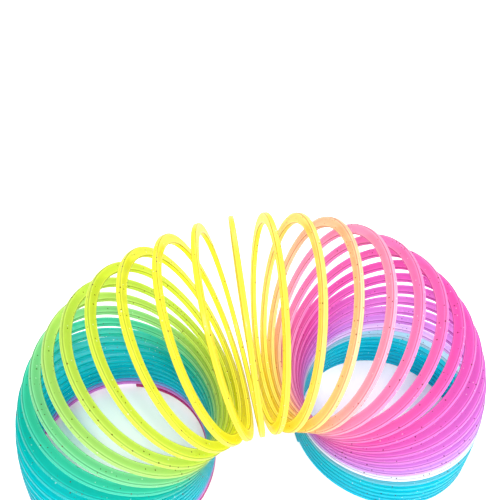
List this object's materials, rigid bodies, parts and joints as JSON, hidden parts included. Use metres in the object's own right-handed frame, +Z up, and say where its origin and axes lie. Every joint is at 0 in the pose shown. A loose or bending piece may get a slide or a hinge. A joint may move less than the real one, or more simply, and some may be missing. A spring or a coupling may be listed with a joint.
{
  "type": "spring coil toy",
  "caption": "Desk toy made of one helical plastic strip, bent into an arch that stands on its two flat ends and stretches, folds and walks down steps.",
  "frame": {"origin": "on the floor, midway between the two feet and in the middle of the arch", "axes": "+X runs along the arch, from the magenta end to the cyan end; +Y runs across it, away from the front; +Z is up"},
  "size_m": [0.1838, 0.075, 0.1092],
  "materials": {
    "lilac": "glossy, slightly translucent",
    "cyan": "glossy, slightly translucent",
    "mint": "glossy, slightly translucent",
    "lime": "glossy, slightly translucent",
    "yellow": "glossy, slightly translucent",
    "peach": "glossy, slightly translucent",
    "pink": "glossy, slightly translucent",
    "hot_pink": "glossy, slightly translucent",
    "orchid": "glossy, slightly translucent",
    "white": "glossy, slightly translucent",
    "aqua": "glossy, slightly translucent"
  },
  "bodies": {
    "left_foot": {"left_foot": "lilac"},
    "turn_01": {"turn_01": "cyan"},
    "turn_02": {"turn_02": "cyan"},
    "turn_03": {"turn_03": "cyan"},
    "turn_04": {"turn_04": "cyan"},
    "turn_05": {"turn_05": "cyan"},
    "turn_06": {"turn_06": "cyan"},
    "turn_07": {"turn_07": "mint"},
    "turn_08": {"turn_08": "mint"},
    "turn_09": {"turn_09": "lime"},
    "turn_10": {"turn_10": "lime"},
    "turn_11": {"turn_11": "yellow"},
    "turn_12": {"turn_12": "yellow"},
    "turn_13": {"turn_13": "yellow"},
    "turn_14": {"turn_14": "yellow"},
    "turn_15": {"turn_15": "yellow"},
    "turn_16": {"turn_16": "yellow"},
    "turn_17": {"turn_17": "yellow"},
    "turn_18": {"turn_18": "yellow"},
    "turn_19": {"turn_19": "peach"},
    "turn_20": {"turn_20": "pink"},
    "turn_21": {"turn_21": "pink"},
    "turn_22": {"turn_22": "hot_pink"},
    "turn_23": {"turn_23": "hot_pink"},
    "turn_24": {"turn_24": "hot_pink"},
    "turn_25": {"turn_25": "orchid"},
    "turn_26": {"turn_26": "orchid"},
    "turn_27": {"turn_27": "orchid"},
    "turn_28": {"turn_28": "orchid"},
    "turn_29": {"turn_29": "white"},
    "turn_30": {"turn_30": "white"},
    "turn_31": {"turn_31": "aqua"},
    "turn_32": {"turn_32": "aqua"},
    "turn_33": {"turn_33": "aqua"},
    "right_foot": {"right_foot": "aqua"}
  },
  "joints": [
    {"name": "bend_01", "type": "hinge", "parent": "left_foot", "child": "turn_01", "pos_m": [-0.01875, 0, 0.00767], "axis": [0, 1, 0], "range_deg": [-0.4145, 0], "stiffness_Nm_per_rad": 0.02, "springref_deg": -0.41},
    {"name": "bend_02", "type": "hinge", "parent": "turn_01", "child": "turn_02", "pos_m": [-0.01873, 0, 0.00996], "axis": [0, 1, 0], "range_deg": [-1.09, 0], "stiffness_Nm_per_rad": 0.02, "springref_deg": -1.09},
    {"name": "bend_03", "type": "hinge", "parent": "turn_02", "child": "turn_03", "pos_m": [-0.01867, 0, 0.01225], "axis": [0, 1, 0], "range_deg": [-1.77, 0], "stiffness_Nm_per_rad": 0.02, "springref_deg": -1.77},
    {"name": "bend_04", "type": "hinge", "parent": "turn_03", "child": "turn_04", "pos_m": [-0.01855, 0, 0.01447], "axis": [0, 1, 0], "range_deg": [-2.46, 0], "stiffness_Nm_per_rad": 0.02, "springref_deg": -2.45},
    {"name": "bend_05", "type": "hinge", "parent": "turn_04", "child": "turn_05", "pos_m": [-0.01832, 0, 0.0167], "axis": [0, 1, 0], "range_deg": [-3.14, 0], "stiffness_Nm_per_rad": 0.02, "springref_deg": -3.14},
    {"name": "bend_06", "type": "hinge", "parent": "turn_05", "child": "turn_06", "pos_m": [-0.01797, 0, 0.01893], "axis": [0, 1, 0], "range_deg": [-3.82, 0], "stiffness_Nm_per_rad": 0.02, "springref_deg": -3.82},
    {"name": "bend_07", "type": "hinge", "parent": "turn_06", "child": "turn_07", "pos_m": [-0.01747, 0, 0.02116], "axis": [0, 1, 0], "range_deg": [-4.5, 0], "stiffness_Nm_per_rad": 0.02, "springref_deg": -4.5},
    {"name": "bend_08", "type": "hinge", "parent": "turn_07", "child": "turn_08", "pos_m": [-0.01678, 0, 0.02337], "axis": [0, 1, 0], "range_deg": [-5.18, 0], "stiffness_Nm_per_rad": 0.02, "springref_deg": -5.18},
    {"name": "bend_09", "type": "hinge", "parent": "turn_08", "child": "turn_09", "pos_m": [-0.01589, 0, 0.02553], "axis": [0, 1, 0], "range_deg": [-5.87, 0], "stiffness_Nm_per_rad": 0.02, "springref_deg": -5.86},
    {"name": "bend_10", "type": "hinge", "parent": "turn_09", "child": "turn_10", "pos_m": [-0.01478, 0, 0.0276], "axis": [0, 1, 0], "range_deg": [-6.55, 0], "stiffness_Nm_per_rad": 0.02, "springref_deg": -6.55},
    {"name": "bend_11", "type": "hinge", "parent": "turn_10", "child": "turn_11", "pos_m": [-0.01342, 0, 0.02955], "axis": [0, 1, 0], "range_deg": [-7.23, 0], "stiffness_Nm_per_rad": 0.02, "springref_deg": -7.23},
    {"name": "bend_12", "type": "hinge", "parent": "turn_11", "child": "turn_12", "pos_m": [-0.01182, 0, 0.03134], "axis": [0, 1, 0], "range_deg": [-7.91, 0], "stiffness_Nm_per_rad": 0.02, "springref_deg": -7.91},
    {"name": "bend_13", "type": "hinge", "parent": "turn_12", "child": "turn_13", "pos_m": [-0.00997, 0, 0.03289], "axis": [0, 1, 0], "range_deg": [-8.18, 0], "stiffness_Nm_per_rad": 0.02, "springref_deg": -8.18},
    {"name": "bend_14", "type": "hinge", "parent": "turn_13", "child": "turn_14", "pos_m": [-0.00791, 0, 0.03417], "axis": [0, 1, 0], "range_deg": [-8.18, 0], "stiffness_Nm_per_rad": 0.02, "springref_deg": -8.18},
    {"name": "bend_15", "type": "hinge", "parent": "turn_14", "child": "turn_15", "pos_m": [-0.0057, 0, 0.03514], "axis": [0, 1, 0], "range_deg": [-8.18, 0], "stiffness_Nm_per_rad": 0.02, "springref_deg": -8.18},
    {"name": "bend_16", "type": "hinge", "parent": "turn_15", "child": "turn_16", "pos_m": [-0.00337, 0, 0.03579], "axis": [0, 1, 0], "range_deg": [-8.18, 0], "stiffness_Nm_per_rad": 0.02, "springref_deg": -8.18},
    {"name": "bend_17", "type": "hinge", "parent": "turn_16", "child": "turn_17", "pos_m": [-0.00097, 0, 0.0361], "axis": [0, 1, 0], "range_deg": [-8.18, 0], "stiffness_Nm_per_rad": 0.02, "springref_deg": -8.18},
    {"name": "bend_18", "type": "hinge", "parent": "turn_17", "child": "turn_18", "pos_m": [0.00145, 0, 0.03607], "axis": [0, 1, 0], "range_deg": [-8.18, 0], "stiffness_Nm_per_rad": 0.02, "springref_deg": -8.18},
    {"name": "bend_19", "type": "hinge", "parent": "turn_18", "child": "turn_19", "pos_m": [0.00384, 0, 0.03569], "axis": [0, 1, 0], "range_deg": [-8.18, 0], "stiffness_Nm_per_rad": 0.02, "springref_deg": -8.18},
    {"name": "bend_20", "type": "hinge", "parent": "turn_19", "child": "turn_20", "pos_m": [0.00615, 0, 0.03497], "axis": [0, 1, 0], "range_deg": [-8.18, 0], "stiffness_Nm_per_rad": 0.02, "springref_deg": -8.18},
    {"name": "bend_21", "type": "hinge", "parent": "turn_20", "child": "turn_21", "pos_m": [0.00834, 0, 0.03394], "axis": [0, 1, 0], "range_deg": [-8.18, 0], "stiffness_Nm_per_rad": 0.02, "springref_deg": -8.18},
    {"name": "bend_22", "type": "hinge", "parent": "turn_21", "child": "turn_22", "pos_m": [0.01035, 0, 0.0326], "axis": [0, 1, 0], "range_deg": [-8.18, 0], "stiffness_Nm_per_rad": 0.02, "springref_deg": -8.18},
    {"name": "bend_23", "type": "hinge", "parent": "turn_22", "child": "turn_23", "pos_m": [0.01216, 0, 0.031], "axis": [0, 1, 0], "range_deg": [-7.77, 0], "stiffness_Nm_per_rad": 0.02, "springref_deg": -7.77},
    {"name": "bend_24", "type": "hinge", "parent": "turn_23", "child": "turn_24", "pos_m": [0.01371, 0, 0.02917], "axis": [0, 1, 0], "range_deg": [-7.09, 0], "stiffness_Nm_per_rad": 0.02, "springref_deg": -7.09},
    {"name": "bend_25", "type": "hinge", "parent": "turn_24", "child": "turn_25", "pos_m": [0.01502, 0, 0.0272], "axis": [0, 1, 0], "range_deg": [-6.41, 0], "stiffness_Nm_per_rad": 0.02, "springref_deg": -6.41},
    {"name": "bend_26", "type": "hinge", "parent": "turn_25", "child": "turn_26", "pos_m": [0.01609, 0, 0.0251], "axis": [0, 1, 0], "range_deg": [-5.73, 0], "stiffness_Nm_per_rad": 0.02, "springref_deg": -5.73},
    {"name": "bend_27", "type": "hinge", "parent": "turn_26", "child": "turn_27", "pos_m": [0.01694, 0, 0.02293], "axis": [0, 1, 0], "range_deg": [-5.05, 0], "stiffness_Nm_per_rad": 0.02, "springref_deg": -5.05},
    {"name": "bend_28", "type": "hinge", "parent": "turn_27", "child": "turn_28", "pos_m": [0.01758, 0, 0.02072], "axis": [0, 1, 0], "range_deg": [-4.37, 0], "stiffness_Nm_per_rad": 0.02, "springref_deg": -4.36},
    {"name": "bend_29", "type": "hinge", "parent": "turn_28", "child": "turn_29", "pos_m": [0.01805, 0, 0.01849], "axis": [0, 1, 0], "range_deg": [-3.68, 0], "stiffness_Nm_per_rad": 0.02, "springref_deg": -3.68},
    {"name": "bend_30", "type": "hinge", "parent": "turn_29", "child": "turn_30", "pos_m": [0.01837, 0, 0.01625], "axis": [0, 1, 0], "range_deg": [-3, 0], "stiffness_Nm_per_rad": 0.02, "springref_deg": -3},
    {"name": "bend_31", "type": "hinge", "parent": "turn_30", "child": "turn_31", "pos_m": [0.01858, 0, 0.01402], "axis": [0, 1, 0], "range_deg": [-2.32, 0], "stiffness_Nm_per_rad": 0.02, "springref_deg": -2.32},
    {"name": "bend_32", "type": "hinge", "parent": "turn_31", "child": "turn_32", "pos_m": [0.01869, 0, 0.01181], "axis": [0, 1, 0], "range_deg": [-1.64, 0], "stiffness_Nm_per_rad": 0.02, "springref_deg": -1.64},
    {"name": "bend_33", "type": "hinge", "parent": "turn_32", "child": "turn_33", "pos_m": [0.01874, 0, 0.00961], "axis": [0, 1, 0], "range_deg": [-0.9565, 0], "stiffness_Nm_per_rad": 0.02, "springref_deg": -0.95},
    {"name": "bend_34", "type": "hinge", "parent": "turn_33", "child": "right_foot", "pos_m": [0.01875, 0, 0.00742], "axis": [0, 1, 0], "range_deg": [-0.2781, 0], "stiffness_Nm_per_rad": 0.02, "springref_deg": -0.28}
  ],
  "couplings": [
    {"joint": "bend_01", "follows": "bend_17", "ratio": 0.05042},
    {"joint": "bend_02", "follows": "bend_17", "ratio": 0.13333},
    {"joint": "bend_03", "follows": "bend_17", "ratio": 0.21667},
    {"joint": "bend_04", "follows": "bend_17", "ratio": 0.3},
    {"joint": "bend_05", "follows": "bend_17", "ratio": 0.38333},
    {"joint": "bend_06", "follows": "bend_17", "ratio": 0.46667},
    {"joint": "bend_07", "follows": "bend_17", "ratio": 0.55},
    {"joint": "bend_08", "follows": "bend_17", "ratio": 0.63333},
    {"joint": "bend_09", "follows": "bend_17", "ratio": 0.71667},
    {"joint": "bend_10", "follows": "bend_17", "ratio": 0.8},
    {"joint": "bend_11", "follows": "bend_17", "ratio": 0.88333},
    {"joint": "bend_12", "follows": "bend_17", "ratio": 0.96625},
    {"joint": "bend_13", "follows": "bend_17", "ratio": 1},
    {"joint": "bend_14", "follows": "bend_17", "ratio": 1},
    {"joint": "bend_15", "follows": "bend_17", "ratio": 1},
    {"joint": "bend_16", "follows": "bend_17", "ratio": 1},
    {"joint": "bend_19", "follows": "bend_18", "ratio": 1},
    {"joint": "bend_20", "follows": "bend_18", "ratio": 1},
    {"joint": "bend_21", "follows": "bend_18", "ratio": 1},
    {"joint": "bend_22", "follows": "bend_18", "ratio": 0.99958},
    {"joint": "bend_23", "follows": "bend_18", "ratio": 0.95},
    {"joint": "bend_24", "follows": "bend_18", "ratio": 0.86667},
    {"joint": "bend_25", "follows": "bend_18", "ratio": 0.78333},
    {"joint": "bend_26", "follows": "bend_18", "ratio": 0.7},
    {"joint": "bend_27", "follows": "bend_18", "ratio": 0.61667},
    {"joint": "bend_28", "follows": "bend_18", "ratio": 0.53333},
    {"joint": "bend_29", "follows": "bend_18", "ratio": 0.45},
    {"joint": "bend_30", "follows": "bend_18", "ratio": 0.36667},
    {"joint": "bend_31", "follows": "bend_18", "ratio": 0.28333},
    {"joint": "bend_32", "follows": "bend_18", "ratio": 0.2},
    {"joint": "bend_33", "follows": "bend_18", "ratio": 0.11667},
    {"joint": "bend_34", "follows": "bend_18", "ratio": 0.03375}
  ]
}
